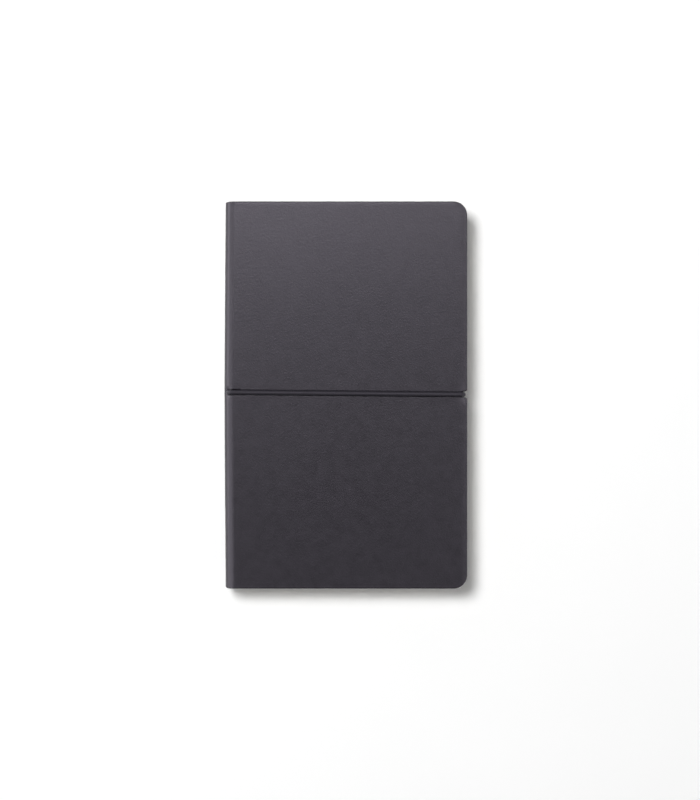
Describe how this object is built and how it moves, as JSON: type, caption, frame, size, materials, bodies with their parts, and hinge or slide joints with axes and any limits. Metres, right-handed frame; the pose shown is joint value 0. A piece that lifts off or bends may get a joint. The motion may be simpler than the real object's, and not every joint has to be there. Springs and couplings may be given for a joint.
{
  "type": "pocket notebook",
  "caption": "Pocket notebook in a soft dark cover with rounded corners, sewn pages and a round elastic loop across the middle.",
  "frame": {"origin": "on the table, under the middle of the notebook's bounding box, level with the underside of the elastic loop", "axes": "+X from the spine to the fore edge, +Y from the tail to the head, +Z from the back cover to the front cover"},
  "size_m": [0.088, 0.14, 0.0143],
  "materials": {
    "cover_skin": "matte",
    "cover_board": "matte",
    "endpaper": "matte",
    "spine_lining": "matte",
    "sewing_thread": "matte",
    "page_paper": "matte",
    "elastic_cord": "matte",
    "crimp_metal": "satin"
  },
  "bodies": {
    "back_half": {"back_cover_skin": "cover_skin", "back_cover_board": "cover_board", "back_pastedown": "endpaper", "back_flyleaf": "endpaper", "signature_07": "page_paper", "signature_08": "page_paper", "signature_09": "page_paper", "signature_10": "page_paper", "signature_11": "page_paper", "signature_12": "page_paper", "back_spine_skin": "cover_skin", "back_spine_lining": "spine_lining", "back_sewing_thread": "sewing_thread", "elastic_crimp": "crimp_metal"},
    "front_half": {"signature_01": "page_paper", "signature_02": "page_paper", "signature_03": "page_paper", "signature_04": "page_paper", "signature_05": "page_paper", "signature_06": "page_paper", "front_spine_skin": "cover_skin", "front_spine_lining": "spine_lining", "front_sewing_thread": "sewing_thread"},
    "front_cover": {"front_cover_skin": "cover_skin", "front_cover_board": "cover_board", "front_pastedown": "endpaper"},
    "front_flyleaf": {"front_flyleaf": "endpaper"},
    "elastic": {"elastic_band": "elastic_cord"},
    "page_1": {"centre_page_1": "page_paper"},
    "page_2": {"centre_page_2": "page_paper"},
    "page_3": {"centre_page_3": "page_paper"},
    "page_4": {"centre_page_4": "page_paper"}
  },
  "joints": [
    {"name": "centre_opening", "type": "hinge", "parent": "back_half", "child": "front_half", "pos_m": [-0.044, 0, 0.00717], "axis": [0, -1, 0], "range_deg": [0, 180]},
    {"name": "front_cover_hinge", "type": "hinge", "parent": "front_half", "child": "front_cover", "pos_m": [-0.0404, 0, 0.01289], "axis": [0, -1, 0], "range_deg": [0, 180]},
    {"name": "flyleaf_turn", "type": "hinge", "parent": "front_half", "child": "front_flyleaf", "pos_m": [-0.0404, 0, 0.01289], "axis": [0, -1, 0], "range_deg": [0, 176]},
    {"name": "elastic_stretch", "type": "slide", "parent": "back_half", "child": "elastic", "axis": [1, 0, 0], "range_m": [0, 0.015], "stiffness_N_per_m": 40, "deforming": ["elastic_band"]},
    {"name": "page_1_turn", "type": "hinge", "parent": "back_half", "child": "page_1", "pos_m": [-0.044, 0, 0.00717], "axis": [0, -1, 0], "range_deg": [0, 180]},
    {"name": "page_2_turn", "type": "hinge", "parent": "back_half", "child": "page_2", "pos_m": [-0.044, 0, 0.00717], "axis": [0, -1, 0], "range_deg": [0, 180]},
    {"name": "page_3_turn", "type": "hinge", "parent": "back_half", "child": "page_3", "pos_m": [-0.044, 0, 0.00717], "axis": [0, -1, 0], "range_deg": [0, 180]},
    {"name": "page_4_turn", "type": "hinge", "parent": "back_half", "child": "page_4", "pos_m": [-0.044, 0, 0.00717], "axis": [0, -1, 0], "range_deg": [0, 180]}
  ],
  "couplings": [
    {"joint": "flyleaf_turn", "follows": "front_cover_hinge", "ratio": 0.975},
    {"joint": "page_1_turn", "follows": "centre_opening", "ratio": 0.98},
    {"joint": "page_2_turn", "follows": "centre_opening", "ratio": 0.95},
    {"joint": "page_3_turn", "follows": "centre_opening", "ratio": 0.91},
    {"joint": "page_4_turn", "follows": "centre_opening", "ratio": 0.86}
  ]
}
